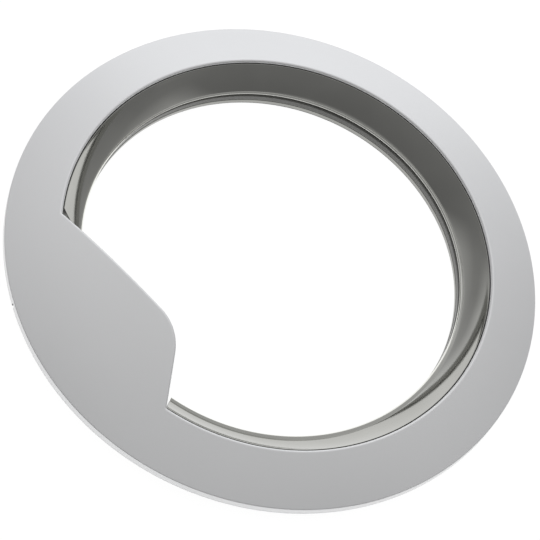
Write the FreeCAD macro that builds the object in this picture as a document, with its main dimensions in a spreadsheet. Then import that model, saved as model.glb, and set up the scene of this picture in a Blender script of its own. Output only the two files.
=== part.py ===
import FreeCAD, Part
import math
import os
import Sketcher

# Outer frame of a washing machine door: a domed ring with a handle flap, a funnel behind its opening,
# and a bright collar in that funnel.
# The ring lies face up on its rear lip. Z is the ring's axis, and the handle flap is on the +X side.

# Driving dimensions, in millimetres and degrees
SIZES = {
    # Domed face of the ring, a zone of a sphere, and the skirt round it
    "ring_diameter": 470.0,
    "dome_radius": 595.0,
    "edge_height": 20.0,
    "edge_round": 4.0,
    "round_bevels": 3,
    "skirt_bottom": 12.0,
    "face_wall": 2.5,
    # Width of the face, from the outside to the opening, and the return wall along the opening's edge
    "face_width": 46.2,
    "opening_round": 2.0,
    "opening_corner_round": 3.0,
    "return_depth": 6.0,
    # Handle flap: how far into the opening its two straight edges would meet, and their slant from the X axis
    "flap_reach": 57.2,
    "flap_azimuth": 18.93,
    "flap_low_angle": 74.5,
    "flap_high_angle": 56.9,
    "flap_tip_round": 48.0,
    "flap_rib_count": 3,
    "flap_rib_depth": 5.0,
    # Grip gap behind the flap: a wedge with its apex past the flap, where funnel and collar are left out
    "grip_lead": 18.7,
    "grip_turn": 4.9,
    "grip_low_angle": 69.4,
    "grip_high_angle": 43.0,
    # Bright collar: a cone with a narrow ledge at its foot. Its width in plan starts at the opening's edge
    "collar_width": 18.9,
    "seam_gap": 1.2,
    "collar_drop": 3.0,
    "collar_wall": 2.0,
    "collar_chamfer": 0.6,
    "ledge_height": 16.3,
    "ledge_width": 2.4,
    "ledge_thickness": 1.4,
    # Funnel that carries the collar, glued under the return wall, and the rear lip that the part rests on
    "seat_clearance": 0.3,
    "ledge_gap": 1.0,
    "funnel_wall": 3.0,
    "groove_floor_wall": 2.5,
    "lip_setback": 0.3,
    "lip_wall": 2.5,
    "lip_chamfer": 0.6,
    "bead_height": 2.4,
    "bead_rise": 0.6,
    # Snap nubs on the collar, and the windows in the funnel that catch them
    "snap_count": 8,
    "snap_drop": 8.6,
    "snap_height": 4.0,
    "snap_reach": 2.0,
    "snap_width": 10.0,
    "snap_clearance": 0.4,
    # Ribs and screw bosses on the back of the face
    "boss_count": 8,
    "boss_inset": 22.0,
    "boss_diameter": 9.0,
    "boss_bottom": 12.0,
    "pilot_diameter": 3.4,
    "pilot_depth": 10.0,
    "rib_thickness": 2.0,
    "rib_bottom": 14.0,
    # Small notch in the lower edge of the skirt
    "notch_angle": 350.2,
    "notch_width": 3.0,
    "notch_height": 5.0,
}


class Size:
    """A number together with the sheet expression that gives it."""

    def __init__(self, number, text):
        self.number = number
        self.text = text

    def __add__(self, other):
        other = as_size(other)
        return Size(self.number + other.number, f"({self.text} + {other.text})")

    def __sub__(self, other):
        other = as_size(other)
        return Size(self.number - other.number, f"({self.text} - {other.text})")

    def __mul__(self, other):
        other = as_size(other)
        return Size(self.number * other.number, f"({self.text} * {other.text})")

    def __truediv__(self, other):
        other = as_size(other)
        return Size(self.number / other.number, f"({self.text} / {other.text})")

    def __neg__(self):
        return Size(-self.number, f"(0 - {self.text})")


def as_size(value):
    return value if isinstance(value, Size) else Size(float(value), str(float(value)))


def root(size):
    return Size(math.sqrt(size.number), f"sqrt({size.text})")


def sine(angle):
    return Size(math.sin(math.radians(angle.number)), f"sin({angle.text})")


def cosine(angle):
    return Size(math.cos(math.radians(angle.number)), f"cos({angle.text})")


def arc_cosine(ratio):
    return Size(math.degrees(math.acos(ratio.number)), f"(acos({ratio.text}) / 1 deg)")


doc = FreeCAD.newDocument("door_frame")
sheet = doc.addObject("Spreadsheet::Sheet", "Sizes")
for row, (alias, number) in enumerate(SIZES.items(), start=1):
    sheet.set(f"A{row}", alias)
    sheet.set(f"B{row}", str(number))
    sheet.setAlias(f"B{row}", alias)
doc.recompute()


def size(alias):
    return Size(float(sheet.get(alias)), f"Sizes.{alias}")


# Sizes that follow from the driving ones
half_turn = as_size(180)
full_turn = as_size(360)
ring_radius = size("ring_diameter") / 2
skirt_inside = ring_radius - size("face_wall")
boss_radius = ring_radius - size("boss_inset")
opening_radius = ring_radius - size("face_width")
return_outside = opening_radius + size("face_wall")
ledge_radius = opening_radius - size("collar_width")
lip_radius = ledge_radius + size("lip_setback")
lip_outside = lip_radius + size("lip_wall")
dome_radius = size("dome_radius")
dome_centre = size("edge_height") - root(dome_radius * dome_radius - ring_radius * ring_radius)


def dome_height(radius, depth):
    """Height of the sphere that lies depth below the face, at a distance radius from the axis."""
    sphere = dome_radius - depth
    return dome_centre + root(sphere * sphere - radius * radius)


def dome_touch(radius, depth):
    """Radius at which the face meets a round of that depth with its centre at the given radius."""
    return radius * dome_radius / (dome_radius - depth)


face = as_size(0)
underside = size("face_wall")
middle = size("face_wall") / 2
crest = dome_height(opening_radius, face)
above_all = crest + size("ring_diameter") / 4
below_all = -size("face_wall")
flap_corner = opening_radius - size("flap_reach")
flap_bore = flap_corner - size("return_depth") * 2
grip_apex = flap_corner - size("grip_lead")
grip_azimuth = size("flap_azimuth") + size("grip_turn")

collar_top = crest - size("collar_drop")
collar_outside = opening_radius - size("seam_gap")
collar_inside = collar_outside - size("collar_wall")
cone_foot = ledge_radius + size("ledge_width")
cone_lean = (collar_inside - cone_foot) / (collar_top - size("ledge_height"))
ledge_bottom = size("ledge_height") - size("ledge_thickness")


def cone_radius(height, offset):
    """Radius of the cone that lies offset outside the collar's bright face."""
    return cone_foot + (height - size("ledge_height")) * cone_lean + offset


def cone_height(radius, offset):
    """Height at which that cone has the given radius."""
    return size("ledge_height") + (radius - cone_foot - offset) / cone_lean


collar_back = size("collar_wall")
funnel_front = collar_back + size("seat_clearance")
funnel_back = funnel_front + size("funnel_wall")
groove_floor = dome_height(return_outside, size("return_depth")) - size("seat_clearance")
groove_under = groove_floor - size("groove_floor_wall")
step_height = ledge_bottom - size("ledge_gap")
snap_top = collar_top - size("snap_drop")
snap_bottom = snap_top - size("snap_height")
boss_step = full_turn / size("boss_count")
snap_step = full_turn / size("snap_count")


def bind(feature, prop, value):
    feature.setExpression(prop, value.text)


def new_body(label):
    body = doc.addObject("PartDesign::Body", label)
    body.Label = label
    body.AllowCompound = True
    return body


def new_sketch(body, name, plane, lift=None, turn=None):
    """Sketch on one of the body's origin planes, lifted along its normal or turned about the ring's axis."""
    sketch = body.newObject("Sketcher::SketchObject", name)
    support = [entry for entry in body.Origin.OriginFeatures if entry.Role == plane][0]
    sketch.AttachmentSupport = [(support, "")]
    sketch.MapMode = "FlatFace"
    if lift:
        bind(sketch, "AttachmentOffset.Base.z", lift)
    if turn:
        axis = FreeCAD.Vector(0, 0, 1) if plane == "XY_Plane" else FreeCAD.Vector(0, 1, 0)
        sketch.AttachmentOffset = FreeCAD.Placement(FreeCAD.Vector(), FreeCAD.Rotation(axis, turn.number))
        bind(sketch, "AttachmentOffset.Rotation.Angle", turn)
    return sketch


def dimension(sketch, kind, ends, value):
    index = sketch.addConstraint(Sketcher.Constraint(kind, *ends, value.number))
    sketch.setExpression(f"Constraints[{index}]", value.text)


def pin(sketch, kind, geometry, end, value):
    """Hold a point's distance from the sketch's origin, on either side of it."""
    if value.number < 0:
        dimension(sketch, kind, (geometry, end, -1, 1), -value)
    else:
        dimension(sketch, kind, (-1, 1, geometry, end), value)


def outline(sketch, corners, dome_sides=None):
    """Closed outline through corners. The sides in dome_sides follow the dome, at a depth below its face."""
    dome_sides = dome_sides or {}
    centre = FreeCAD.Vector(0, dome_centre.number, 0)
    points = [FreeCAD.Vector(x.number, y.number, 0) for x, y in corners]
    count = len(points)
    ends = []
    for side in range(count):
        start, stop = points[side], points[(side + 1) % count]
        if side in dome_sides:
            angles = [math.atan2(point.y - centre.y, point.x) for point in (start, stop)]
            circle = Part.Circle(centre, FreeCAD.Vector(0, 0, 1), (start - centre).Length)
            sketch.addGeometry(Part.ArcOfCircle(circle, min(angles), max(angles)))
            ends.append((1, 2) if angles[0] < angles[1] else (2, 1))
        else:
            sketch.addGeometry(Part.LineSegment(start, stop))
            ends.append((1, 2))
    for side in range(count):
        after = (side + 1) % count
        sketch.addConstraint(Sketcher.Constraint("Coincident", side, ends[side][1], after, ends[after][0]))
    for side, (x, y) in enumerate(corners):
        pin(sketch, "DistanceX", side, ends[side][0], x)
        on_dome = side in dome_sides or (side - 1) % count in dome_sides
        if not on_dome:
            pin(sketch, "DistanceY", side, ends[side][0], y)
    for side, depth in dome_sides.items():
        sketch.addConstraint(Sketcher.Constraint("PointOnObject", side, 3, -2))
        pin(sketch, "DistanceY", side, 3, dome_centre)
        dimension(sketch, "Radius", (side,), dome_radius - depth)


def rounded(radius, depth, first, last):
    """Corners of a round edge of the face, drawn as flat bevels from one direction to another."""
    height = dome_height(radius, depth)
    steps = int(size("round_bevels").number)
    angles = [first + (last - first) * step / steps for step in range(steps + 1)]
    return [(radius + depth * cosine(angle), height + depth * sine(angle)) for angle in angles]


def revolve(body, sketch, kind="Revolution"):
    feature = body.newObject(f"PartDesign::{kind}", f"{sketch.Name}_{kind.lower()}")
    feature.Profile = sketch
    feature.ReferenceAxis = (sketch, ["V_Axis"])
    feature.Angle = 360
    doc.recompute()
    return feature


def pad(body, sketch, length, both_sides=False):
    feature = body.newObject("PartDesign::Pad", f"{sketch.Name}_pad")
    feature.Profile = sketch
    bind(feature, "Length", length)
    if both_sides:
        feature.SideType = "Symmetric"
    doc.recompute()
    return feature


def pocket(body, sketch, length=None):
    """Cut upwards from the sketch by length, or right through both ways."""
    before = body.Shape.Volume
    feature = body.newObject("PartDesign::Pocket", f"{sketch.Name}_pocket")
    feature.Profile = sketch
    if length:
        feature.Reversed = True
        bind(feature, "Length", length)
    else:
        feature.Type = "ThroughAll"
        feature.SideType = "Symmetric"
    doc.recompute()
    if body.Shape.Volume >= before:
        raise RuntimeError(f"{feature.Name} cuts nothing")
    return feature


def pattern(body, feature, count, sweep=None):
    """Repeat a feature evenly round the ring's axis, or clockwise over a sweep that ends on the last copy."""
    polar = body.newObject("PartDesign::PolarPattern", f"{feature.Name}_pattern")
    polar.Originals = [feature]
    axis = [entry for entry in body.Origin.OriginFeatures if entry.Role == "Z_Axis"][0]
    polar.Axis = (axis, [""])
    polar.Angle = 360
    if sweep:
        polar.Reversed = True
        bind(polar, "Angle", sweep)
    bind(polar, "Occurrences", count)
    body.Tip = polar
    doc.recompute()
    return polar


def fillet(body, name, radius, chosen):
    """Round the edges whose start, middle and end all pass the test chosen(distance from axis, point)."""
    names = []
    for number, edge in enumerate(body.Shape.Edges, start=1):
        first, last = edge.ParameterRange
        points = [edge.valueAt(first + (last - first) * share) for share in (0, 0.5, 1)]
        if all(chosen(math.hypot(point.x, point.y), point) for point in points):
            names.append(f"Edge{number}")
    base = body.Tip
    feature = body.newObject("PartDesign::Fillet", name)
    feature.Base = (base, names)
    bind(feature, "Radius", radius)
    doc.recompute()
    return feature


def near(first, second):
    return abs(first - second) < 0.02


def rectangle(sketch, low_x, high_x, width):
    """Rectangle along the sketch's X axis, with its width shared by both sides of it."""
    half = width / 2
    outline(sketch, [(low_x, -half), (high_x, -half), (high_x, half), (low_x, half)])


def round_plan(sketch, centre_x, diameter):
    """Circle with its centre on the sketch's X axis."""
    centre = FreeCAD.Vector(centre_x.number, 0, 0)
    sketch.addGeometry(Part.Circle(centre, FreeCAD.Vector(0, 0, 1), diameter.number / 2))
    sketch.addConstraint(Sketcher.Constraint("PointOnObject", 0, 3, -1))
    pin(sketch, "DistanceX", 0, 3, centre_x)
    dimension(sketch, "Diameter", (0,), diameter)


def arc(centre, start, stop):
    """Arc that runs anticlockwise from start to stop."""
    angles = [math.atan2(point.y - centre.y, point.x - centre.x) for point in (start, stop)]
    if angles[1] < angles[0]:
        angles[1] += 2 * math.pi
    circle = Part.Circle(centre, FreeCAD.Vector(0, 0, 1), (start - centre).Length)
    return Part.ArcOfCircle(circle, *angles)


def along_line(base, run, reach):
    """Point at the distance reach from the ring's axis, on the line from base in the direction run."""
    along = base.dot(run)
    return base + run * (math.sqrt(along ** 2 - base.dot(base) + reach ** 2) - along)


def flap_edges(sketch, inset, feet_of):
    """The flap's straight edges and round tip, moved into its material by inset and run out to their feet."""
    low, high = -size("flap_low_angle"), size("flap_high_angle")
    bisector = (low + high) / 2
    shift = inset / sine((high - low) / 2)
    corner_x = flap_corner * cosine(size("flap_azimuth")) + shift * cosine(bisector)
    corner_y = flap_corner * sine(size("flap_azimuth")) + shift * sine(bisector)
    tip_round = size("flap_tip_round") - inset
    corner = FreeCAD.Vector(corner_x.number, corner_y.number, 0)
    runs = [FreeCAD.Vector(cosine(angle).number, sine(angle).number, 0) for angle in (low, high)]
    void_sides = [FreeCAD.Vector(runs[0].y, -runs[0].x, 0), FreeCAD.Vector(-runs[1].y, runs[1].x, 0)]
    tip_run = tip_round.number / math.tan(math.radians((high - low).number / 2))
    tips = [corner + run * tip_run for run in runs]
    tip_centre = tips[0] - void_sides[0] * tip_round.number
    feet = [feet_of(corner, run, void_side) for run, void_side in zip(runs, void_sides)]

    low_line = sketch.addGeometry(Part.LineSegment(feet[0], tips[0]))
    tip_arc = sketch.addGeometry(arc(tip_centre, tips[1], tips[0]))
    high_line = sketch.addGeometry(Part.LineSegment(tips[1], feet[1]))
    sketch.addConstraint(Sketcher.Constraint("Tangent", low_line, 2, tip_arc, 2))
    sketch.addConstraint(Sketcher.Constraint("Tangent", tip_arc, 1, high_line, 1))
    dimension(sketch, "Radius", (tip_arc,), tip_round)
    corner_point = sketch.addGeometry(Part.Point(corner), True)
    pin(sketch, "DistanceX", corner_point, 1, corner_x)
    pin(sketch, "DistanceY", corner_point, 1, corner_y)
    for line in (low_line, high_line):
        sketch.addConstraint(Sketcher.Constraint("PointOnObject", corner_point, 1, line))
    dimension(sketch, "Angle", (low_line,), half_turn + low)
    dimension(sketch, "Angle", (high_line,), high)
    return low_line, high_line, feet


def flap_outline(sketch, reach):
    """Plan of the flap, out to the radius reach inside the ring's own material."""
    low_line, high_line, feet = flap_edges(
        sketch, as_size(0), lambda corner, run, void_side: along_line(corner, run, reach.number))
    root_arc = sketch.addGeometry(arc(FreeCAD.Vector(), feet[0], feet[1]))
    sketch.addConstraint(Sketcher.Constraint("Coincident", root_arc, 3, -1, 1))
    sketch.addConstraint(Sketcher.Constraint("Coincident", root_arc, 1, low_line, 1))
    sketch.addConstraint(Sketcher.Constraint("Coincident", root_arc, 2, high_line, 2))
    dimension(sketch, "Radius", (root_arc,), reach)


def opening_outline(sketch, inset):
    """Edge of the opening: round, but for the flap. The inset moves it into the material of the ring."""
    radius = opening_radius + inset
    corner_round = size("opening_corner_round") + inset
    centres = []

    def foot(corner, run, void_side):
        centre = along_line(corner + void_side * corner_round.number, run, (radius - corner_round).number)
        centres.append(centre)
        return centre - void_side * corner_round.number

    low_line, high_line, feet = flap_edges(sketch, inset, foot)
    rims = [centre * (radius.number / centre.Length) for centre in centres]
    high_arc = sketch.addGeometry(arc(centres[1], feet[1], rims[1]))
    rim_arc = sketch.addGeometry(arc(FreeCAD.Vector(), rims[1], rims[0]))
    low_arc = sketch.addGeometry(arc(centres[0], rims[0], feet[0]))
    chain = [(high_line, 2), (high_arc, 1), (high_arc, 2), (rim_arc, 1),
             (rim_arc, 2), (low_arc, 1), (low_arc, 2), (low_line, 1)]
    for before, after in zip(chain[::2], chain[1::2]):
        sketch.addConstraint(Sketcher.Constraint("Tangent", *before, *after))
    sketch.addConstraint(Sketcher.Constraint("Coincident", rim_arc, 3, -1, 1))
    dimension(sketch, "Radius", (high_arc,), corner_round)
    dimension(sketch, "Radius", (low_arc,), corner_round)
    dimension(sketch, "Radius", (rim_arc,), radius)


def grip_outline(sketch):
    """Wedge that opens outwards from the grip's apex, past the ring."""
    apex_x, apex_y = grip_apex * cosine(grip_azimuth), grip_apex * sine(grip_azimuth)
    reach = size("ring_diameter")
    low, high = -size("grip_low_angle"), size("grip_high_angle")
    corners = [(apex_x, apex_y)]
    for angle in (low, high):
        corners.append((apex_x + reach * cosine(angle), apex_y + reach * sine(angle)))
    outline(sketch, corners)


# Ring of the front frame: a thick zone of the dome and its skirt, with both edges of the face rounded
ring = new_body("frame_ring")
ring_section = new_sketch(ring, "ring_section", "XZ_Plane")
edge_centre = ring_radius - size("edge_round")
edge_slant = arc_cosine(dome_touch(edge_centre, size("edge_round")) / dome_radius)
edge = rounded(edge_centre, size("edge_round"), edge_slant, as_size(0))
rim_centre = opening_radius + size("opening_round")
rim_slant = arc_cosine(dome_touch(rim_centre, size("opening_round")) / dome_radius)
rim = rounded(rim_centre, size("opening_round"), half_turn, rim_slant)
back = [
    (ring_radius, size("skirt_bottom")),
    (skirt_inside, size("skirt_bottom")),
    (skirt_inside, dome_height(skirt_inside, size("return_depth"))),
    (opening_radius, dome_height(opening_radius, size("return_depth"))),
]
face_side = len(rim) - 1
back_side = len(rim + edge + back) - 2
outline(ring_section, rim + edge + back, dome_sides={face_side: face, back_side: size("return_depth")})
revolve(ring, ring_section)
notch_plan = new_sketch(ring, "notch_plan", "XY_Plane", lift=size("skirt_bottom"), turn=size("notch_angle"))
rectangle(notch_plan, skirt_inside - size("face_wall"), ring_radius + size("face_wall"), size("notch_width"))
pocket(ring, notch_plan, size("notch_height"))

# Handle flap: the dome carried on into the opening, between two straight edges and a round tip
flap = new_body("handle_flap")
flap_root = return_outside + size("face_wall")
flap_plan = new_sketch(flap, "flap_plan", "XY_Plane")
flap_outline(flap_plan, flap_root)
pad(flap, flap_plan, above_all)
trim_reach = flap_root + size("face_wall")
flap_face = new_sketch(flap, "flap_face", "XZ_Plane")
outline(flap_face, [
    (trim_reach, dome_height(trim_reach, face)),
    (flap_bore, dome_height(flap_bore, face)),
    (flap_bore, above_all * 2),
    (trim_reach, above_all * 2),
], dome_sides={0: face})
revolve(flap, flap_face, "Groove")
flap_back = new_sketch(flap, "flap_back", "XZ_Plane")
outline(flap_back, [
    (flap_bore, dome_height(flap_bore, size("return_depth"))),
    (trim_reach, dome_height(trim_reach, size("return_depth"))),
    (trim_reach, below_all),
    (flap_bore, below_all),
], dome_sides={0: size("return_depth")})
revolve(flap, flap_back, "Groove")
dome_point = FreeCAD.Vector(0, 0, dome_centre.number)
fillet(flap, "flap_edge_round", size("opening_round"),
       lambda radius, point: near((point - dome_point).Length, dome_radius.number)
       and not near(radius, flap_root.number))
blank = doc.addObject("Part::Fuse", "frame_blank")
blank.Base = ring
blank.Tool = flap
blank.Refine = True

# Hollow under the face, which leaves the wall of the face and the return wall along the opening
hollow = new_body("frame_hollow")
hollow_section = new_sketch(hollow, "hollow_section", "XZ_Plane")
hollow_bore = flap_bore - size("return_depth")
outline(hollow_section, [
    (hollow_bore, below_all),
    (skirt_inside, below_all),
    (skirt_inside, dome_height(skirt_inside, underside)),
    (hollow_bore, dome_height(hollow_bore, underside)),
], dome_sides={2: underside})
revolve(hollow, hollow_section)
return_wall = new_sketch(hollow, "return_wall", "XY_Plane")
opening_outline(return_wall, size("face_wall"))
pocket(hollow, return_wall)
shell = doc.addObject("Part::Cut", "frame_shell")
shell.Base = blank
shell.Tool = hollow

# Funnel under the opening: the groove round the collar's rim, the step under its ledge and the beaded lip
funnel = new_body("inner_funnel")
funnel_section = new_sketch(funnel, "funnel_section", "XZ_Plane")
floor_outside = return_outside + middle
outline(funnel_section, [
    (cone_radius(groove_floor, funnel_front), groove_floor),
    (floor_outside, groove_floor),
    (floor_outside, groove_under),
    (cone_radius(groove_under, funnel_back), groove_under),
    (lip_outside, cone_height(lip_outside, funnel_back)),
    (lip_outside, as_size(0)),
    (lip_radius - size("bead_rise"), as_size(0)),
    (lip_radius - size("bead_rise"), size("bead_height")),
    (lip_radius, size("bead_height") + size("bead_rise")),
    (lip_radius, step_height - size("lip_chamfer")),
    (lip_radius + size("lip_chamfer"), step_height),
    (cone_radius(step_height, funnel_front), step_height),
])
revolve(funnel, funnel_section)
funnel_grip = new_sketch(funnel, "funnel_grip", "XY_Plane")
grip_outline(funnel_grip)
pocket(funnel, funnel_grip)
window_bottom = snap_bottom - size("snap_clearance")
window_height = size("snap_height") + size("snap_clearance") * 2
window_plan = new_sketch(funnel, "window_plan", "XY_Plane", lift=window_bottom, turn=snap_step)
rectangle(window_plan, cone_radius(snap_bottom, as_size(0)), return_outside,
          size("snap_width") + size("snap_clearance") * 2)
pattern(funnel, pocket(funnel, window_plan, window_height), size("snap_count"))

# Ribs from the skirt to just short of the funnel, and screw bosses on them, cut to end inside the face's wall
stiffeners = new_body("frame_stiffeners")
rib_plan = new_sketch(stiffeners, "rib_plan", "XY_Plane", lift=size("rib_bottom"), turn=boss_step / 2)
rectangle(rib_plan, floor_outside + size("seat_clearance"), ring_radius - middle, size("rib_thickness"))
pattern(stiffeners, pad(stiffeners, rib_plan, above_all - size("rib_bottom")), size("boss_count"))
rib_grip = new_sketch(stiffeners, "rib_grip", "XY_Plane")
grip_outline(rib_grip)
pocket(stiffeners, rib_grip)
boss_plan = new_sketch(stiffeners, "boss_plan", "XY_Plane", lift=size("boss_bottom"), turn=boss_step / 2)
round_plan(boss_plan, boss_radius, size("boss_diameter"))
pattern(stiffeners, pad(stiffeners, boss_plan, above_all - size("boss_bottom")), size("boss_count"))
trim_section = new_sketch(stiffeners, "trim_section", "XZ_Plane")
trim_outside = ring_radius + size("face_wall")
outline(trim_section, [
    (opening_radius, dome_height(opening_radius, middle)),
    (trim_outside, dome_height(trim_outside, middle)),
    (trim_outside, above_all * 2),
    (opening_radius, above_all * 2),
], dome_sides={0: middle})
revolve(stiffeners, trim_section, "Groove")
pilot_plan = new_sketch(stiffeners, "pilot_plan", "XY_Plane", lift=size("boss_bottom"), turn=boss_step / 2)
round_plan(pilot_plan, boss_radius, size("pilot_diameter"))
pattern(stiffeners, pocket(stiffeners, pilot_plan, size("pilot_depth")), size("boss_count"))

# Shallow ribs under the flap, which follow the dome from the skirt to the flap's return wall
flap_ribs = new_body("flap_ribs")
flap_rib_section = new_sketch(flap_ribs, "flap_rib_section", "XZ_Plane", turn=boss_step / 2)
outline(flap_rib_section, [
    (flap_bore, dome_height(flap_bore, middle)),
    (ring_radius - middle, dome_height(ring_radius - middle, middle)),
    (ring_radius - middle, dome_height(ring_radius - middle, size("flap_rib_depth"))),
    (flap_bore, dome_height(flap_bore, size("flap_rib_depth"))),
], dome_sides={0: middle, 2: size("flap_rib_depth")})
flap_rib = pad(flap_ribs, flap_rib_section, size("rib_thickness"), both_sides=True)
pattern(flap_ribs, flap_rib, size("flap_rib_count"), sweep=boss_step)
flap_rib_ends = new_sketch(flap_ribs, "flap_rib_ends", "XY_Plane")
opening_outline(flap_rib_ends, middle)
pocket(flap_ribs, flap_rib_ends)

# The front frame is one moulding, so its shell takes in the ribs and bosses
front_frame = shell
for addition in (stiffeners, flap_ribs):
    fuse = doc.addObject("Part::Fuse", f"with_{addition.Name}")
    fuse.Base = front_frame
    fuse.Tool = addition
    front_frame = fuse
front_frame.Label = "front_frame"
doc.recompute()

# Bright collar: a thin cone with a chamfered rim, a ledge at its foot, snap nubs on its back and two cut ends
collar = new_body("inner_collar")
collar_section = new_sketch(collar, "collar_section", "XZ_Plane")
chamfer = size("collar_chamfer")
outline(collar_section, [
    (cone_radius(collar_top - chamfer, as_size(0)), collar_top - chamfer),
    (collar_inside + chamfer, collar_top),
    (collar_outside, collar_top),
    (cone_radius(ledge_bottom, collar_back), ledge_bottom),
    (ledge_radius, ledge_bottom),
    (ledge_radius, size("ledge_height") - chamfer),
    (ledge_radius + chamfer, size("ledge_height")),
    (cone_foot, size("ledge_height")),
])
revolve(collar, collar_section)
snap_plan = new_sketch(collar, "snap_plan", "XZ_Plane", turn=snap_step)
bite = collar_back / 2
outline(snap_plan, [
    (cone_radius(snap_bottom, bite), snap_bottom),
    (cone_radius(snap_top, bite), snap_top),
    (cone_radius(snap_top, collar_back + size("snap_reach")), snap_top),
])
pattern(collar, pad(collar, snap_plan, size("snap_width"), both_sides=True), size("snap_count"))
collar_grip = new_sketch(collar, "collar_grip", "XY_Plane")
grip_outline(collar_grip)
pocket(collar, collar_grip)

doc.recompute()
nodes = [front_frame, funnel, collar]
for entry in doc.Objects:
    if "Invalid" in entry.State or "Error" in entry.State:
        raise RuntimeError(f"{entry.Label} failed: {entry.State}")
for node in nodes:
    if node.Shape.isNull() or not node.Shape.isValid():
        raise RuntimeError(f"{node.Label} has no valid shape")
os.makedirs("parts", exist_ok=True)
for node in nodes:
    node.Shape.exportStep(f"parts/{node.Label}.step")
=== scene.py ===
import math

import bmesh
import bpy
from mathutils import Matrix, Vector


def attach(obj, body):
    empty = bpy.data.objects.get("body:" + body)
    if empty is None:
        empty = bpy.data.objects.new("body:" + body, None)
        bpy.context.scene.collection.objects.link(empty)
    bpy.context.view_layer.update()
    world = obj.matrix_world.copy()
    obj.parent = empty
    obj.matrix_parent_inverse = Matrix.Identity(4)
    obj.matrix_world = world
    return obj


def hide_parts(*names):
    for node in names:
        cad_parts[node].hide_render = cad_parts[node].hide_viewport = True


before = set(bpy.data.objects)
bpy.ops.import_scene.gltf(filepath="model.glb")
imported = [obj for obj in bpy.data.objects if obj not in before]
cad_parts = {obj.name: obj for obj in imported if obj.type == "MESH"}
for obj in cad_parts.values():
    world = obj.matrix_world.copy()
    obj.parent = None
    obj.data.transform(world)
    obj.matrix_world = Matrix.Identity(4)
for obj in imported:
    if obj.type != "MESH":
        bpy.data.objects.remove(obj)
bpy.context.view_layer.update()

# Front shell: the domed ring, its skirt and the handle flap, one thin-walled moulding.
# It is moulded in grey plastic, then sprayed silver and lacquered on face, skirt and the opening's edge.
# Sizes are in millimetres, as on the drawing, and points turn into metres when a mesh is made.
MM = 0.001
ring_radius = 235.0
dome_radius = 595.0
edge_height = 20.0
edge_round = 1.2
skirt_bottom = 12.0
face_wall = 2.5
opening_radius = 188.8
opening_round = 2.05
opening_corner_round = 1.0
return_depth = 6.0
flap_corner_radius = 131.6
flap_azimuth = math.radians(18.93)
flap_slants = (math.radians(-74.5), math.radians(56.9))
flap_tip_round = 48.0
notch_azimuth = math.radians(-9.8)
notch_width = 3.0
notch_top = 17.0
soft_edge = 0.4
dome_centre = edge_height - math.sqrt(dome_radius ** 2 - ring_radius ** 2)
dome_point = Vector((0, 0, dome_centre))


def heading(angle):
    """Level direction at an angle from +X."""
    return Vector((math.cos(angle), math.sin(angle)))


def dome_height(radius, depth=0.0):
    """Height of the dome, or of the surface that lies depth below it."""
    return dome_centre + math.sqrt((dome_radius - depth) ** 2 - radius ** 2)


def along_line(base, run, reach):
    """Point at the distance reach from the ring's axis, on the line from base in the direction run."""
    along = base.dot(run)
    return base + run * (math.sqrt(along ** 2 - base.length_squared + reach ** 2) - along)


flap_corner = heading(flap_azimuth) * flap_corner_radius
flap_runs = [heading(slant) for slant in flap_slants]
flap_voids = [Vector((flap_runs[0].y, -flap_runs[0].x)), Vector((-flap_runs[1].y, flap_runs[1].x))]
tip_run = flap_tip_round / math.tan((flap_slants[1] - flap_slants[0]) / 2)
tip_ends = [flap_corner + run * tip_run for run in flap_runs]
tip_centre = tip_ends[0] - flap_voids[0] * flap_tip_round


def opening_edge():
    """Points along the opening's edge, each with its direction into the face, and where the flap starts."""
    corner_reach = opening_radius - opening_corner_round
    centres = [along_line(flap_corner + void * opening_corner_round, run, corner_reach)
               for run, void in zip(flap_runs, flap_voids)]
    feet = [centre - void * opening_corner_round for centre, void in zip(centres, flap_voids)]
    rims = [math.atan2(centre.y, centre.x) for centre in centres]
    slopes = [math.atan2(-void.y, -void.x) for void in flap_voids]
    edge = []

    def arc(centre, radius, first, last, steps, side):
        for step in range(steps):
            ray = heading(first + (last - first) * step / steps)
            edge.append((centre + ray * radius, ray * side))

    def line(start, stop, inward, steps):
        for step in range(steps):
            edge.append((start.lerp(stop, step / steps), inward))

    arc(Vector((0, 0)), opening_radius, rims[1], rims[0] + 2 * math.pi, steps=320, side=1)
    flap_start = len(edge)
    arc(centres[0], opening_corner_round, rims[0], slopes[0], steps=8, side=1)
    line(feet[0], tip_ends[0], -flap_voids[0], steps=40)
    arc(tip_centre, flap_tip_round, slopes[0] + math.pi, slopes[1] + math.pi, steps=24, side=-1)
    line(tip_ends[1], feet[1], -flap_voids[1], steps=18)
    arc(centres[1], opening_corner_round, slopes[1], rims[1], steps=10, side=1)
    return edge, flap_start


def outer_azimuths(edge, flap_start):
    """Azimuth at which each line across the face meets the skirt, spread evenly behind the flap,
    and the number of the line at which the notch starts."""
    azimuths = [math.atan2(point.y, point.x) % (2 * math.pi) for point, inward in edge[:flap_start]]
    spread_depth = 20.0
    trail = [point + inward * spread_depth for point, inward in edge[flap_start - 1:] + edge[:1]]
    steps = [(after - before).length for before, after in zip(trail, trail[1:])]
    first, last = azimuths[-1] - 2 * math.pi, azimuths[0]
    walked = 0.0
    for step in steps[:-1]:
        walked += step
        azimuths.append(first + (last - first) * walked / sum(steps))
    half_notch = notch_width / 2 / ring_radius
    notch_sides = [notch_azimuth - half_notch, notch_azimuth + half_notch]
    start = min(range(flap_start, len(edge)), key=lambda index: abs(azimuths[index] - notch_sides[0]))
    azimuths[start:start + 2] = notch_sides
    return azimuths, start


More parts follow.
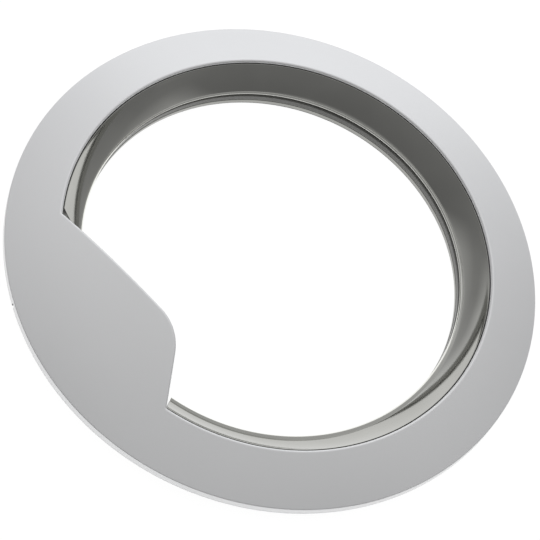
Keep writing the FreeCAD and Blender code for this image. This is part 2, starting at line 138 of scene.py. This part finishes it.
def shell_section(edge, inward, azimuth):
    """Closed line round the shell's wall: up from the opening, over the face, down the skirt and back inside.
    Also the first and the last of its points that border the notch."""
    side = Vector((inward.x, inward.y, 0))
    round_steps = 10
    edge_steps = 8
    line = []

    def wall_point(offset, depth, lift=0.0):
        place = edge + inward * offset
        line.append(Vector((place.x, place.y, dome_height(place.length, depth) + lift)))

    def skirt_point(radius, height):
        place = heading(azimuth) * radius
        line.append(Vector((place.x, place.y, height)))

    wall_point(0.0, return_depth, soft_edge)
    ball = edge + inward * opening_round
    ball_centre = Vector((ball.x, ball.y, dome_height(ball.length, opening_round)))
    up = (ball_centre - dome_point).normalized()
    for step in range(round_steps + 1):
        line.append(ball_centre + (-side).slerp(up, step / round_steps) * opening_round)

    edge_centre = ring_radius - edge_round
    edge_centre_height = dome_height(edge_centre, edge_round)
    edge_slant = math.atan2(edge_centre_height - dome_centre, edge_centre)
    touch = heading(azimuth) * (edge_centre + edge_round * math.cos(edge_slant))
    rim = line[-1].to_2d()
    shares = (0.012, 0.05, 0.12, 0.2, 0.3, 0.4, 0.5, 0.6, 0.7, 0.8, 0.88, 0.95, 0.988)
    for share in shares:
        place = rim.lerp(touch, share)
        line.append(Vector((place.x, place.y, dome_height(place.length))))
    for step in range(edge_steps + 1):
        angle = edge_slant * (1 - step / edge_steps)
        radius = edge_centre + edge_round * math.cos(angle)
        skirt_point(radius, edge_centre_height + edge_round * math.sin(angle))

    notch_start = len(line)
    skirt_inside = ring_radius - face_wall
    skirt_point(ring_radius, notch_top)
    skirt_point(ring_radius, skirt_bottom + soft_edge)
    skirt_point(ring_radius - soft_edge / 3, skirt_bottom + soft_edge / 3)
    skirt_point(ring_radius - soft_edge, skirt_bottom)
    skirt_point(skirt_inside + soft_edge, skirt_bottom)
    skirt_point(skirt_inside + soft_edge / 3, skirt_bottom + soft_edge / 3)
    skirt_point(skirt_inside, skirt_bottom + soft_edge)
    notch_stop = len(line)
    skirt_point(skirt_inside, notch_top)
    skirt_point(skirt_inside, dome_height(skirt_inside, face_wall))

    inner = line[-1].to_2d()
    behind_wall = edge + inward * face_wall
    for share in shares[2:-2]:
        place = inner.lerp(behind_wall, share)
        line.append(Vector((place.x, place.y, dome_height(place.length, face_wall))))
    wall_point(face_wall, face_wall)
    wall_point(face_wall, return_depth, soft_edge)
    wall_point(face_wall - soft_edge, return_depth)
    wall_point(soft_edge, return_depth)
    return line, notch_start, notch_stop


def make_piece(name, points, faces, materials, node, finishes=None):
    """Mesh object in metres that stands for a CAD node and rides on the frame."""
    sharp_angle = math.radians(32)
    mesh = bpy.data.meshes.new(name)
    mesh.from_pydata([point * MM for point in points], [], faces)
    for material in materials:
        mesh.materials.append(material)
    if finishes:
        mesh.polygons.foreach_set("material_index", finishes)
    form = bmesh.new()
    form.from_mesh(mesh)
    bmesh.ops.recalc_face_normals(form, faces=form.faces)
    form.to_mesh(mesh)
    form.free()
    mesh.shade_smooth()
    mesh.set_sharp_from_angle(angle=sharp_angle)
    piece = bpy.data.objects.new(name, mesh)
    bpy.context.scene.collection.objects.link(piece)
    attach(piece, "root")
    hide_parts(node)


def add_node(tree, kind, settings=None, **links):
    """Shader node with its settings, and its inputs either linked or set to a constant.
    An input goes by its name, or by the letter i and its number."""
    made = tree.nodes.new(kind)
    for key, value in (settings or {}).items():
        setattr(made, key, value)
    for key, value in links.items():
        numbered = key[0] == "i" and key[1:].isdigit()
        socket = made.inputs[int(key[1:]) if numbered else key.replace("_", " ")]
        if isinstance(value, bpy.types.NodeSocket):
            tree.links.new(value, socket)
        else:
            socket.default_value = value
    return made


def set_ramp(ramp, stops):
    """Give a colour ramp its stops, each a position and a colour."""
    elements = ramp.color_ramp.elements
    while len(elements) < len(stops):
        elements.new(1.0)
    for element, (position, colour) in zip(elements, stops):
        element.position = position
        element.color = (*colour, 1)


def new_material(name):
    """Empty node material, and its tree with a Principled shader on the output."""
    material = bpy.data.materials.new(name)
    material.use_nodes = True
    tree = material.node_tree
    shader = tree.nodes["Principled BSDF"]
    return material, tree, shader


def warm_grey(tone):
    """Grey with a little less blue in it."""
    return tone, tone, tone * 0.95


def silver_paint():
    """Silver paint under clear lacquer: cloudy at arm's length, with fine flakes and a faint orange peel."""
    material, tree, shader = new_material("silver_paint")
    place = add_node(tree, "ShaderNodeTexCoord").outputs["Object"]
    clouds = add_node(tree, "ShaderNodeTexNoise", Vector=place, Scale=9.0, Detail=3.0).outputs["Fac"]
    flakes = add_node(tree, "ShaderNodeTexNoise", Vector=place, Scale=2600.0, Detail=1.0).outputs["Fac"]
    peel = add_node(tree, "ShaderNodeTexNoise", Vector=place, Scale=420.0, Detail=2.0).outputs["Fac"]
    shade = add_node(tree, "ShaderNodeMath", {"operation": "MULTIPLY_ADD"}, i0=flakes, i1=0.25, i2=clouds)
    tone = add_node(tree, "ShaderNodeValToRGB", Fac=shade.outputs["Value"])
    set_ramp(tone, ((0.35, (0.742, 0.745, 0.752)), (0.9, (0.772, 0.775, 0.782))))
    tree.links.new(tone.outputs["Color"], shader.inputs["Base Color"])
    gloss = add_node(tree, "ShaderNodeMapRange", Value=clouds, To_Min=0.35, To_Max=0.41)
    tree.links.new(gloss.outputs["Result"], shader.inputs["Roughness"])
    relief = add_node(tree, "ShaderNodeBump", Strength=0.04, Distance=0.0002, Height=peel)
    tree.links.new(relief.outputs["Normal"], shader.inputs["Normal"])
    shader.inputs["Metallic"].default_value = 0.75
    shader.inputs["Coat Weight"].default_value = 0.35
    shader.inputs["Coat Roughness"].default_value = 0.05
    return material


def bare_plastic(name, dark, pale, gloss_range):
    """Bare moulded plastic in a warm grey, with a fine spark-eroded grain."""
    material, tree, shader = new_material(name)
    place = add_node(tree, "ShaderNodeTexCoord").outputs["Object"]
    grain = add_node(tree, "ShaderNodeTexNoise", Vector=place, Scale=1600.0, Detail=3.0).outputs["Fac"]
    flow = add_node(tree, "ShaderNodeTexNoise", Vector=place, Scale=14.0, Detail=4.0).outputs["Fac"]
    tone = add_node(tree, "ShaderNodeValToRGB", Fac=flow)
    set_ramp(tone, ((0.3, warm_grey(dark)), (0.75, warm_grey(pale))))
    tree.links.new(tone.outputs["Color"], shader.inputs["Base Color"])
    gloss = add_node(tree, "ShaderNodeMapRange", Value=flow, To_Min=gloss_range[0], To_Max=gloss_range[1])
    tree.links.new(gloss.outputs["Result"], shader.inputs["Roughness"])
    relief = add_node(tree, "ShaderNodeBump", Strength=0.12, Distance=0.0001, Height=grain)
    tree.links.new(relief.outputs["Normal"], shader.inputs["Normal"])
    return material


grey_plastic = bare_plastic("grey_plastic", 0.226, 0.266, (0.3, 0.42))
shell_materials = [silver_paint(), grey_plastic]
shell_edge, shell_flap_start = opening_edge()
shell_azimuths, notch_column = outer_azimuths(shell_edge, shell_flap_start)
shell_points = []
for (edge_point, edge_inward), edge_azimuth in zip(shell_edge, shell_azimuths):
    section, notch_first, notch_last = shell_section(edge_point, edge_inward, edge_azimuth)
    shell_points.extend(section)
shell_rows = len(section)
shell_columns = len(shell_edge)
shell_faces = []
shell_finishes = []
for column in range(shell_columns):
    here, following = column * shell_rows, (column + 1) % shell_columns * shell_rows
    for row in range(shell_rows):
        after = (row + 1) % shell_rows
        if column == notch_column and notch_first <= row < notch_last:
            continue
        shell_faces.append((here + row, following + row, following + after, here + after))
        shell_finishes.append(0 if row < notch_last - 1 else 1)
notch_here, notch_following = notch_column * shell_rows, (notch_column + 1) * shell_rows
shell_faces.append((notch_here + notch_first, notch_following + notch_first,
                    notch_following + notch_last, notch_here + notch_last))
for column_start in (notch_here, notch_following):
    shell_faces.append(tuple(column_start + row for row in range(notch_first, notch_last + 1)))
shell_finishes.extend([1, 1, 1])
make_piece("front_shell", shell_points, shell_faces, shell_materials,
           "front_frame", shell_finishes)

# Funnel: a bare grey plastic moulding, glued by its flange under the wall along the opening's edge.
# Windows in its cone catch the collar's snap nubs, and its ends lie under the flap, beside the grip gap.
# The part stands on its lip, which is smoother, has a plated bead and lies a little off the ring's centre.
crest = dome_height(opening_radius)
collar_top = crest - 3.0
collar_wall = 2.0
collar_outside = opening_radius - 1.2
ledge_radius = opening_radius - 18.9
ledge_height = 16.3
ledge_thickness = 1.4
cone_foot = ledge_radius + 2.4
cone_lean = (collar_outside - collar_wall - cone_foot) / (collar_top - ledge_height)
seat_clearance = 0.3
funnel_front = collar_wall + seat_clearance
funnel_back = funnel_front + 3.0
lip_radius = ledge_radius - 1.6
lip_shift = heading(math.radians(328.0)) * 1.7
foot_root = ledge_radius + 0.3
lip_outside = ledge_radius + 2.8
bead_rise = 0.6
bead_low = 1.4
bead_high = 6.2
funnel_overrun = 3.5
corner_round = 0.5
finish_margin = 0.1
groove_floor = dome_height(opening_radius + face_wall, return_depth) - seat_clearance
groove_under = groove_floor - 2.5
floor_outside = opening_radius + face_wall * 1.5
step_height = ledge_height - ledge_thickness - 3.9
snap_azimuths = [math.radians(45.0 * count) for count in range(1, 8)]
snap_top = collar_top - 8.6
snap_height = 4.0
snap_width = 10.0
snap_clearance = 0.4
grip_apex = heading(flap_azimuth + math.radians(4.9)) * (flap_corner_radius - 18.7)
grip_slants = (math.radians(43.0), math.radians(-69.4))


def cone_radius(height, offset):
    """Radius of the cone that lies offset outside the collar's bright face."""
    return cone_foot + (height - ledge_height) * cone_lean + offset


def soften(corners, radius, steps=3):
    """Closed outline with its corners rounded, by less where the sides are short.
    A point on a straight side stays."""
    straight = math.radians(178)
    side_share = 0.45
    smooth = []
    for index, corner in enumerate(corners):
        sides = [corners[index - 1] - corner, corners[(index + 1) % len(corners)] - corner]
        opening = sides[0].angle(sides[1])
        if opening > straight:
            smooth.append(corner)
            continue
        shortest = min(side.length for side in sides)
        reach = min(radius / math.tan(opening / 2), side_share * shortest)
        start, stop = (corner + side.normalized() * reach for side in sides)
        for step in range(steps + 1):
            share = step / steps
            smooth.append(start.lerp(corner, share).lerp(corner.lerp(stop, share), share))
    return smooth


def cut_azimuth(radius, slant):
    """Azimuth at which an edge of the grip gap meets the given radius."""
    place = along_line(grip_apex, heading(slant), radius)
    return math.atan2(place.y, place.x)


def carry_round(section, stations, overrun, edge, shift):
    """Section carried round the ring's axis, from one cut face of the grip gap to past the other one.
    Its innermost edge lies off the axis by a shift, and what is outside the foot's root doesn't."""
    run_in = 4
    points = []
    for index in range(len(stations)):
        for radius, height in section:
            azimuth = stations[index]
            ahead = len(stations) - 1 - index
            if index < run_in:
                cut = cut_azimuth(radius, grip_slants[0])
                azimuth = cut + (stations[run_in] - cut) * index / run_in
            elif ahead < run_in:
                cut = cut_azimuth(radius, grip_slants[1]) + 2 * math.pi + overrun / radius
                azimuth = cut + (stations[-1 - run_in] - cut) * ahead / run_in
            share = min(1.0, max(0.0, (foot_root - radius) / (foot_root - edge)))
            ray = heading(azimuth)
            place = ray * (radius + share * shift.dot(ray))
            points.append(Vector((place.x, place.y, height)))
    return points


def even_stations(gaps=()):
    """Azimuths every degree from one side of the flap to the other, with one at each edge of a gap
    and none inside it."""
    first_degree, last_degree = 32, 329
    clearance = math.radians(0.5)
    stations = [math.radians(degree) for degree in range(first_degree, last_degree + 1)]
    for low, high in gaps:
        stations = [entry for entry in stations if not low - clearance < entry < high + clearance]
        stations.extend((low, high))
    return sorted(stations)


window_low = snap_top - snap_height - snap_clearance
window_high = snap_top + snap_clearance
funnel_corners = [Vector(corner) for corner in (
    (cone_radius(groove_floor, funnel_front), groove_floor),
    (floor_outside, groove_floor),
    (floor_outside, groove_under),
    (cone_radius(groove_under, funnel_back), groove_under),
    (cone_radius(window_high, funnel_back), window_high),
    (cone_radius(window_low, funnel_back), window_low),
    (lip_outside, ledge_height + (lip_outside - cone_foot - funnel_back) / cone_lean),
    (lip_outside, 0.0),
    (lip_radius, 0.0),
    (lip_radius, bead_low),
    (lip_radius - bead_rise, bead_low + bead_rise),
    (lip_radius - bead_rise, bead_high - bead_rise),
    (lip_radius, bead_high),
    (lip_radius, step_height),
    (cone_radius(step_height, funnel_front), step_height),
    (cone_radius(window_low, funnel_front), window_low),
    (cone_radius(window_high, funnel_front), window_high),
)]
funnel_section = soften(funnel_corners, corner_round)
window_rows = [funnel_section.index(funnel_corners[number]) for number in (4, 5, 15, 16)]
window_half = math.asin((snap_width / 2 + snap_clearance) / cone_radius(snap_top, funnel_front))
window_gaps = [(azimuth - window_half, azimuth + window_half) for azimuth in snap_azimuths]
funnel_stations = even_stations(window_gaps)
funnel_points = carry_round(funnel_section, funnel_stations, funnel_overrun, lip_radius, lip_shift)
funnel_rows = len(funnel_section)


def funnel_finish(row):
    """Finish of a strip of the section: 0 dull grey, 1 the smoother grey of the lip, 2 the bead's plating."""
    radii, heights = zip(funnel_section[row], funnel_section[(row + 1) % funnel_rows])
    if max(radii) > lip_radius + finish_margin or max(heights) > step_height:
        return 0
    return 2 if min(heights) > bead_low - finish_margin and max(heights) < bead_high + finish_margin else 1


window_columns = [funnel_stations.index(low) for low, high in window_gaps]
funnel_faces = []
funnel_finishes = []
for column in range(len(funnel_stations) - 1):
    here, following = column * funnel_rows, (column + 1) * funnel_rows
    for row in range(funnel_rows):
        after = (row + 1) % funnel_rows
        if column in window_columns and row in (window_rows[0], window_rows[2]):
            continue
        funnel_faces.append((here + row, following + row, following + after, here + after))
        funnel_finishes.append(funnel_finish(row))
    if column in window_columns:
        back_high, back_low, front_low, front_high = window_rows
        for back, front in ((back_high, front_high), (back_low, front_low)):
            funnel_faces.append((here + back, following + back, following + front, here + front))
        for side in (here, following):
            funnel_faces.append((side + back_high, side + back_low, side + front_low, side + front_high))
        funnel_finishes.extend([0, 0, 0, 0])
funnel_faces.append(tuple(range(funnel_rows)))
funnel_faces.append(tuple(range(len(funnel_points) - funnel_rows, len(funnel_points))))
funnel_finishes.extend([0, 0])


def bright_plating(name, dark, pale):
    """Bright plating on plastic: a smoky mirror, slightly wavy, with faint streaks round the ring."""
    material, tree, shader = new_material(name)
    place = add_node(tree, "ShaderNodeTexCoord").outputs["Object"]
    turn = add_node(tree, "ShaderNodeTexGradient", {"gradient_type": "RADIAL"}, Vector=place).outputs["Fac"]
    height = add_node(tree, "ShaderNodeSeparateXYZ", Vector=place).outputs["Z"]
    streak_place = add_node(tree, "ShaderNodeCombineXYZ", X=turn, Z=height).outputs["Vector"]
    stretched = add_node(tree, "ShaderNodeVectorMath", {"operation": "MULTIPLY"},
                         i0=streak_place, i1=(30, 1, 900))
    streaks = add_node(tree, "ShaderNodeTexNoise", Vector=stretched.outputs["Vector"], Scale=1.0, Detail=3.0)
    waves = add_node(tree, "ShaderNodeTexNoise", Vector=place, Scale=26.0, Detail=2.0).outputs["Fac"]
    tone = add_node(tree, "ShaderNodeValToRGB", Fac=waves)
    set_ramp(tone, ((0.3, warm_grey(dark)), (0.7, warm_grey(pale))))
    tree.links.new(tone.outputs["Color"], shader.inputs["Base Color"])
    gloss = add_node(tree, "ShaderNodeMapRange", Value=streaks.outputs["Fac"], To_Min=0.05, To_Max=0.13)
    tree.links.new(gloss.outputs["Result"], shader.inputs["Roughness"])
    relief = add_node(tree, "ShaderNodeBump", Strength=0.05, Distance=0.0006, Height=waves)
    tree.links.new(relief.outputs["Normal"], shader.inputs["Normal"])
    shader.inputs["Metallic"].default_value = 1.0
    return material


bead_plating = bright_plating("bead_plating", 0.31, 0.34)
lip_plastic = bare_plastic("lip_plastic", 0.24, 0.28, (0.12, 0.2))
make_piece("funnel_and_lip", funnel_points, funnel_faces, [grey_plastic, lip_plastic, bead_plating],
           "inner_funnel", funnel_finishes)

# Ribs: thin plates on the shell's back, moulded with it in the same bare plastic.
# Deep ones brace the skirt and end just short of the funnel's flange, and three shallow ones follow the dome
# under the flap. They run a little way into the walls that they stiffen, so no gap shows.
rib_thickness = 2.0
rib_bottom = 14.0
flap_rib_depth = 5.0
rib_edge = 0.25
rib_bend = 0.5
rib_steps = 10
rib_azimuths = [math.radians(22.5 + 45.0 * count) for count in range(1, 7)]
flap_rib_azimuths = [math.radians(degrees) for degrees in (-22.5, 0.0, 22.5)]
wall_middle = face_wall / 2


def flap_depth(place):
    """Distance of a point from the flap's edge, into the flap."""
    offsets = [(place - end).dot(-void) for end, void in zip(tip_ends, flap_voids)]
    past_tip = all((place - end).dot(run) < 0 for end, run in zip(tip_ends, flap_runs))
    return flap_tip_round - (place - tip_centre).length if past_tip else min(offsets)


def flap_reach(azimuth):
    """Radius at which a rib under the flap ends, in the middle of the wall along the flap's edge."""
    halvings = 30
    low, high = flap_corner_radius, opening_radius
    for _ in range(halvings):
        middle = (low + high) / 2
        if flap_depth(heading(azimuth) * middle) < wall_middle:
            low = middle
        else:
            high = middle
    return high


def dome_run(first, last, depth):
    """Points of a rib's edge that follows the dome at a depth."""
    radii = [first + (last - first) * step / rib_steps for step in range(rib_steps + 1)]
    return [Vector((radius, dome_height(radius, depth))) for radius in radii]


def plate(form, outline, azimuth):
    """Flat plate of the ribs' thickness, standing on a radius of the ring, with its edges just broken."""
    across = Vector((-math.sin(azimuth), math.cos(azimuth))) * rib_thickness / 2
    corners = []
    for side in (-1, 1):
        row = []
        for radius, height in outline:
            place = heading(azimuth) * radius + across * side
            row.append(form.verts.new(Vector((place.x, place.y, height)) * MM))
        corners.append(row)
    left, right = corners
    faces = [form.faces.new(left), form.faces.new(right)]
    for index in range(len(outline)):
        after = (index + 1) % len(outline)
        faces.append(form.faces.new((left[index], left[after], right[after], right[index])))
    bmesh.ops.recalc_face_normals(form, faces=faces)
    edges = dict.fromkeys(edge for face in faces for edge in face.edges)
    bends = [edge for edge in edges if edge.calc_face_angle() > rib_bend]
    bmesh.ops.bevel(form, geom=bends, offset=rib_edge * MM, segments=2, affect="EDGES", profile=0.5)


skirt_middle = ring_radius - wall_middle
rib_inside = floor_outside + seat_clearance
deep_rib = [Vector((rib_inside, rib_bottom)), Vector((skirt_middle, rib_bottom))]
deep_rib += dome_run(skirt_middle, rib_inside, wall_middle)
rib_form = bmesh.new()
for rib_azimuth in rib_azimuths:
    plate(rib_form, deep_rib, rib_azimuth)
for rib_azimuth in flap_rib_azimuths:
    inner_end = flap_reach(rib_azimuth)
    shallow_rib = dome_run(skirt_middle, inner_end, wall_middle)
    shallow_rib += dome_run(inner_end, skirt_middle, flap_rib_depth)
    plate(rib_form, shallow_rib, rib_azimuth)
rib_mesh = bpy.data.meshes.new("back_ribs")
rib_form.to_mesh(rib_mesh)
rib_form.free()
rib_mesh.materials.append(grey_plastic)
back_ribs = bpy.data.objects.new("back_ribs", rib_mesh)
bpy.context.scene.collection.objects.link(back_ribs)
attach(back_ribs, "root")
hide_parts("front_frame")

# Screw bosses: round pillars on the shell's back, each with a blind pilot hole for a self-tapping screw.
# They are moulded with the shell and grow out of its underside, evenly round the ring.
boss_circle_radius = ring_radius - 22.0
boss_radius = 4.5
boss_bottom = 12.0
pilot_radius = 1.7
pilot_depth = 10.0
boss_edge = 0.5
boss_break = 0.15
boss_segments = 40
boss_azimuths = [math.radians(22.5 + 45.0 * count) for count in range(8)]
boss_profile = [
    (pilot_radius, boss_bottom + pilot_depth),
    (pilot_radius, boss_bottom + boss_edge),
    (pilot_radius + boss_edge, boss_bottom),
    (boss_radius - boss_edge, boss_bottom),
    (boss_radius - boss_break, boss_bottom + boss_break),
    (boss_radius, boss_bottom + boss_edge),
    (boss_radius, None),  # up to the dome
]
boss_points = []
boss_faces = []
for boss_azimuth in boss_azimuths:
    boss_axis = heading(boss_azimuth) * boss_circle_radius
    first_point = len(boss_points)
    for segment in range(boss_segments):
        ray = heading(2 * math.pi * segment / boss_segments)
        for radius, height in boss_profile:
            place = boss_axis + ray * radius
            top = dome_height(place.length, wall_middle) if height is None else height
            boss_points.append(Vector((place.x, place.y, top)))
    rows = len(boss_profile)
    for segment in range(boss_segments):
        here = first_point + segment * rows
        following = first_point + (segment + 1) % boss_segments * rows
        for row in range(rows - 1):
            boss_faces.append((here + row, following + row, following + row + 1, here + row + 1))
    for row in (0, rows - 1):
        boss_faces.append(tuple(first_point + segment * rows + row for segment in range(boss_segments)))
make_piece("screw_bosses", boss_points, boss_faces, [grey_plastic], "front_frame")

# Bright collar: a C-shaped, slightly coved cone of plated plastic, with snap nubs that click into the funnel.
# It thins to a rim just short of the opening's edge, which leaves a dark seam. The ledge at its foot has an
# upright land, a chamfer and a tilted top, and lies a little off the ring's centre. Its land and chamfer get
# a much lighter plating than the rest of the collar, a painted highlight along the ledge's edge.
rim_wall = 0.3
ledge_inside = ledge_radius - 2.25
ledge_edge = ledge_radius - 1.1
ledge_land = 0.5
ledge_shift = heading(math.radians(280.0)) * 1.15
ledge_root = ledge_radius + 0.5
ledge_tilt = 0.6
ledge_fillet = 0.2
collar_overrun = 0.6
rim_radius = collar_outside + 0.3
cove_depth = 0.9
cove_steps = 12
cove_foot = Vector((ledge_root, ledge_height))
cove_rim = Vector((rim_radius - rim_wall, collar_top))
cove_side = Vector((cove_rim.y - cove_foot.y, cove_foot.x - cove_rim.x)).normalized()
cove = []
for step in range(cove_steps + 1):
    share = step / cove_steps
    cove.append(cove_foot.lerp(cove_rim, share) + cove_side * cove_depth * 4 * share * (1 - share))
ledge_bottom = ledge_height - ledge_thickness
collar_corners = cove + [Vector(corner) for corner in (
    (rim_radius, collar_top),
    (cone_radius(ledge_bottom, collar_wall), ledge_bottom),
    (ledge_inside, ledge_bottom),
    (ledge_inside, ledge_bottom + ledge_land),
    (ledge_edge, ledge_height + ledge_tilt),
    (ledge_root - ledge_fillet, ledge_height + ledge_fillet * ledge_tilt / (ledge_root - ledge_edge)),
)]
collar_section = soften(collar_corners, corner_round, steps=5)
collar_stations = even_stations()
collar_points = carry_round(collar_section, collar_stations, collar_overrun, ledge_edge, ledge_shift)
collar_rows = len(collar_section)
collar_faces = []
collar_finishes = []
for column in range(len(collar_stations) - 1):
    here, following = column * collar_rows, (column + 1) * collar_rows
    for row in range(collar_rows):
        after = (row + 1) % collar_rows
        collar_faces.append((here + row, following + row, following + after, here + after))
        outermost = max(collar_section[row].x, collar_section[after].x)
        # Finish 1 lies on the ledge's land and chamfer: its lighter plating is a painted highlight.
        collar_finishes.append(1 if outermost < ledge_edge + finish_margin else 0)
collar_faces.append(tuple(range(collar_rows)))
collar_faces.append(tuple(range(len(collar_points) - collar_rows, len(collar_points))))
collar_finishes.extend([0, 0])
snap_reach = 2.0
snap_overlap = 0.2
snap_root = collar_wall - snap_overlap
snap_bottom = snap_top - snap_height
snap_profile = [
    (cone_radius(snap_bottom, snap_root), snap_bottom),
    (cone_radius(snap_top, snap_root), snap_top),
    (cone_radius(snap_top, collar_wall + snap_reach), snap_top),
]
for snap_azimuth in snap_azimuths:
    left = len(collar_points)
    right = left + 3
    for side in (-0.5, 0.5):
        across = Vector((-math.sin(snap_azimuth), math.cos(snap_azimuth))) * snap_width * side
        for radius, height in snap_profile:
            place = heading(snap_azimuth) * radius + across
            collar_points.append(Vector((place.x, place.y, height)))
    collar_faces.append((left, left + 1, left + 2))
    collar_faces.append((right, right + 1, right + 2))
    for corner in range(3):
        after = (corner + 1) % 3
        collar_faces.append((left + corner, left + after, right + after, right + corner))
    collar_finishes.extend([0, 0, 0, 0, 0])
# The second plating is much lighter than the first: it paints a highlight on the ledge's land and chamfer.
collar_materials = [bright_plating("bright_plating", 0.407, 0.437),
                    bright_plating("edge_painted_highlight", 0.8, 0.84)]
make_piece("bright_collar", collar_points, collar_faces, collar_materials,
           "inner_collar", collar_finishes)

# Floor: a plain white sheet that the part lies on, and that carries on past the picture on all sides.
# It is white to the camera and in reflections, and keeps the part's soft shadow.
floor_half = 20.0
floor_drop = 0.0003
camera_white = 0.88
floor_mesh = bpy.data.meshes.new("floor")
floor_mesh.from_pydata([(-floor_half, -floor_half, 0), (floor_half, -floor_half, 0),
                        (floor_half, floor_half, 0), (-floor_half, floor_half, 0)], [], [(0, 1, 2, 3)])
floor_material, floor_tree, floor_shader = new_material("white_floor")
floor_shader.inputs["Base Color"].default_value = (0.88, 0.88, 0.88, 1)
floor_shader.inputs["Roughness"].default_value = 0.9
floor_shader.inputs["Specular IOR Level"].default_value = 0.0
floor_light = add_node(floor_tree, "ShaderNodeLightPath")
floor_mirrored = add_node(floor_tree, "ShaderNodeMath", {"operation": "MAXIMUM"},
                          i0=floor_light.outputs["Is Glossy Ray"],
                          i1=floor_light.outputs["Is Transmission Ray"])
floor_share = add_node(floor_tree, "ShaderNodeMath", {"operation": "MULTIPLY_ADD"},
                       i0=floor_light.outputs["Is Camera Ray"], i1=camera_white,
                       i2=floor_mirrored.outputs["Value"])
floor_white = add_node(floor_tree, "ShaderNodeEmission", Color=(1, 1, 1, 1), Strength=1.1)
floor_mix = add_node(floor_tree, "ShaderNodeMixShader", i0=floor_share.outputs["Value"],
                     i1=floor_shader.outputs["BSDF"], i2=floor_white.outputs["Emission"])
floor_tree.links.new(floor_mix.outputs["Shader"], floor_tree.nodes["Material Output"].inputs["Surface"])
floor_mesh.materials.append(floor_material)
floor = bpy.data.objects.new("floor", floor_mesh)
floor.location.z = -floor_drop
bpy.context.scene.collection.objects.link(floor)

# Camera: the photo's angle, from above the flap's side, tilted as the photo is.
# The part's axis leans away from it, and the picture is shifted a few pixels to the photo's framing.
picture_pixels = 540
focal_pixels = 2358
shift_pixels = (-6.2, -13.3)
view_azimuth = math.radians(39.05)
view_elevation = math.radians(57.79)
view_roll = math.radians(26.51)
view_distance = 2.03
view_target = Vector((0, 0, 0.02))
level = heading(view_azimuth) * math.cos(view_elevation)
toward_camera = Vector((level.x, level.y, math.sin(view_elevation)))
sideways = Vector((-math.sin(view_azimuth), math.cos(view_azimuth), 0))
upward = toward_camera.cross(sideways)
camera_right = sideways * math.cos(view_roll) + upward * math.sin(view_roll)
camera_up = upward * math.cos(view_roll) - sideways * math.sin(view_roll)
camera_data = bpy.data.cameras.new("camera")
camera_data.sensor_width = 36.0
camera_data.lens = focal_pixels / picture_pixels * camera_data.sensor_width
camera_data.shift_x = shift_pixels[0] / picture_pixels
camera_data.shift_y = shift_pixels[1] / picture_pixels
camera_data.clip_end = 100.0
camera = bpy.data.objects.new("camera", camera_data)
turned = Matrix((camera_right, camera_up, toward_camera)).transposed().to_4x4()
camera.matrix_world = Matrix.Translation(view_target + toward_camera * view_distance) @ turned
bpy.context.scene.collection.objects.link(camera)
bpy.context.scene.camera = camera

# Light: a pale studio, brightest overhead and darker along its walls, with one wide window low on the far
# left and a paler wall on the left. On the camera's side the walls are pale just above the floor, and then
# dark nearly up to the ceiling.
world = bpy.data.worlds.new("studio")
bpy.context.scene.world = world
world.use_nodes = True
room = world.node_tree
room_ray = add_node(room, "ShaderNodeTexCoord").outputs["Generated"]


def toward(azimuth, elevation):
    """Direction from the part to a place in the studio, in degrees."""
    level = heading(math.radians(azimuth)) * math.cos(math.radians(elevation))
    return Vector((level.x, level.y, math.sin(math.radians(elevation))))


def room_ramp(share, stops):
    """Colours of the room that follow a share from 0 to 1, each stop a position and a grey or a colour."""
    ramp = add_node(room, "ShaderNodeValToRGB", Fac=share)
    set_ramp(ramp, [(position, (tone,) * 3 if isinstance(tone, float) else tone) for position, tone in stops])
    return ramp.outputs["Color"]


def nearness(direction):
    """How near a ray comes to a direction: 1 straight along it, 0 square to it."""
    dot = add_node(room, "ShaderNodeVectorMath", {"operation": "DOT_PRODUCT"}, i0=room_ray, i1=direction)
    return dot.outputs["Value"]


def mixed(blend_type, share, first, second):
    """Two colours of the room, blended by a share."""
    settings = {"data_type": "RGBA", "blend_type": blend_type}
    mix = add_node(room, "ShaderNodeMix", settings, i0=share, i6=first, i7=second)
    return mix.outputs["Result"]


room_height = add_node(room, "ShaderNodeSeparateXYZ", Vector=room_ray).outputs["Z"]
far_walls = room_ramp(room_height, ((0.1, 0.28), (0.3, 0.3), (0.5, 0.48), (0.7, 0.64)))
near_walls = room_ramp(room_height, ((0.02, 0.7), (0.15, 0.28), (0.3, 0.26), (0.72, 0.22), (0.86, 0.64)))
camera_side = room_ramp(nearness(toward(39.0, 0.0)), ((0.05, 0.0), (0.3, 1.0)))
window_tones = ((0.0, 0.0), (0.45, 0.09), (0.7, (0.23, 0.23, 0.235)), (0.85, (0.46, 0.465, 0.475)),
                (0.96, (0.85, 0.86, 0.88)))
window = room_ramp(nearness(toward(231.0, 12.0)), window_tones)
left_wall = room_ramp(nearness(toward(275.0, 0.0)), ((0.8, 0.0), (0.97, 0.35)))
low_on_wall = room_ramp(room_height, ((0.04, 1.0), (0.2, 0.0)))
room_tone = mixed("MIX", camera_side, far_walls, near_walls)
for glow in (window, mixed("MULTIPLY", 1.0, left_wall, low_on_wall)):
    room_tone = mixed("ADD", 1.0, room_tone, glow)
room.links.new(room_tone, room.nodes["Background"].inputs["Color"])

bpy.context.scene.view_settings.view_transform = "Standard"
